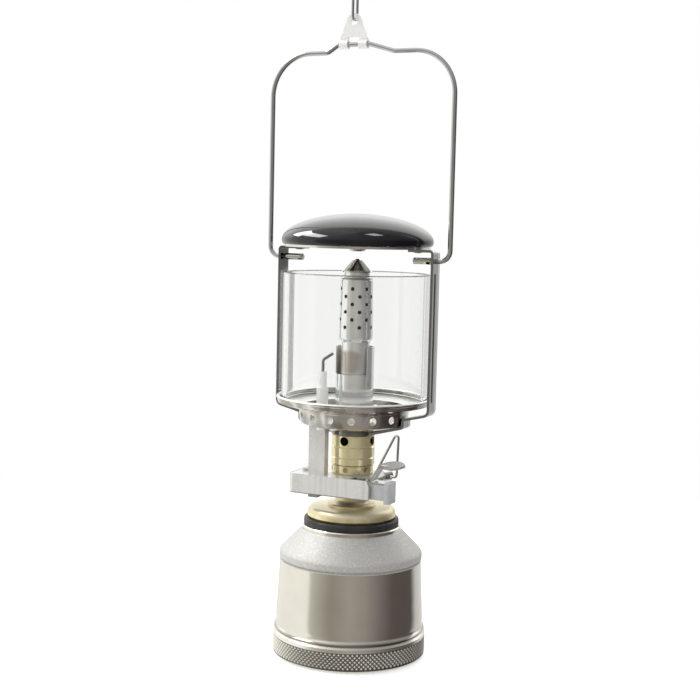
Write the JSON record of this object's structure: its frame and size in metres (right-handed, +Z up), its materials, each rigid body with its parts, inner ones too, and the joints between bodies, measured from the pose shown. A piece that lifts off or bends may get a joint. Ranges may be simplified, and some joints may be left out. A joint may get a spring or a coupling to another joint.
{
  "type": "gas lantern",
  "caption": "Small gas lantern: knurled refillable tank, brass valve and air column, piezo igniter, perforated mantle burner in a glass globe, enamelled hood, wire bail and hook.",
  "frame": {"origin": "centre of the base cap's flat underside, on the floor", "axes": "+Z up along the tank's axis; X along the bail's pivot; the igniter housing is on the -Y side and the thumb button points to +X"},
  "size_m": [0.0816, 0.0632, 0.2916],
  "materials": {
    "tank": "satin turned and anodised, knurled foot",
    "rubber": "matt black",
    "brass": "pale turned brass",
    "steel": "plain steel",
    "bright_steel": "polished stainless sheet",
    "burner_steel": "satin, with a little heat tint",
    "wire": "bright drawn wire",
    "housing": "satin plated sheet",
    "piezo": "moulded plastic",
    "button": "moulded grey plastic",
    "lead": "silicone sleeve",
    "ceramic": "white glazed ceramic, stood in for by gloss plastic",
    "glass": "clear glass",
    "enamel": "gloss black enamel"
  },
  "bodies": {
    "lantern": {"tank_body": "tank", "base_cap": "tank", "base_oring": "rubber", "tank_valve": "brass", "tank_valve_stem": "steel", "tank_valve_spring": "steel", "tank_gasket": "rubber", "connector_flange": "brass", "connector_oring": "rubber", "valve_body": "brass", "gas_jet": "brass", "air_column": "brass", "spindle_oring": "rubber", "gland_nut": "brass", "igniter_housing": "housing", "housing_screw": "steel", "piezo_unit": "piezo", "lead_cover": "housing", "ignition_lead": "lead", "electrode_insulator": "ceramic", "electrode_wire": "steel", "globe_dish": "bright_steel", "frame_strap": "bright_steel", "strap_rivets": "steel", "glass_globe": "glass", "hood": "enamel", "hood_plate": "bright_steel", "hood_rivet": "steel", "burner_nut": "brass", "burner_sleeve": "burner_steel", "burner_tube": "burner_steel", "burner_cone": "burner_steel"},
    "bail": {"bail_wire": "wire", "bail_ferrules": "steel"},
    "link": {"hanger_link": "bright_steel"},
    "hook": {"hanging_hook": "wire"},
    "spindle": {"valve_spindle": "steel"},
    "handle": {"valve_handle": "wire"},
    "button": {"igniter_button": "button", "thumb_tab": "housing"}
  },
  "joints": [
    {"name": "bail_swing", "type": "hinge", "parent": "lantern", "child": "bail", "pos_m": [0, 0, 0.16122], "axis": [1, 0, 0], "range_deg": [-120, 120]},
    {"name": "link_swing", "type": "hinge", "parent": "bail", "child": "link", "pos_m": [-0.0036, 0, 0.24612], "axis": [1, 0, 0], "range_deg": [-90, 90]},
    {"name": "hook_swing", "type": "hinge", "parent": "link", "child": "hook", "pos_m": [-0.0036, 0, 0.25576], "axis": [0, 1, 0], "range_deg": [-80, 80]},
    {"name": "valve_turn", "type": "hinge", "parent": "lantern", "child": "spindle", "pos_m": [0, 0, 0.0704], "axis": [0.342, 0.9397, 0], "range_deg": [0, 450]},
    {"name": "handle_fold", "type": "hinge", "parent": "spindle", "child": "handle", "pos_m": [0.00677, 0.01861, 0.0704], "axis": [-0.9397, 0.342, 0], "range_deg": [-15, 85]},
    {"name": "button_press", "type": "slide", "parent": "lantern", "child": "button", "axis": [-1, 0, 0], "range_m": [0, 0.004], "stiffness_N_per_m": 600, "springref_m": -0.002}
  ]
}
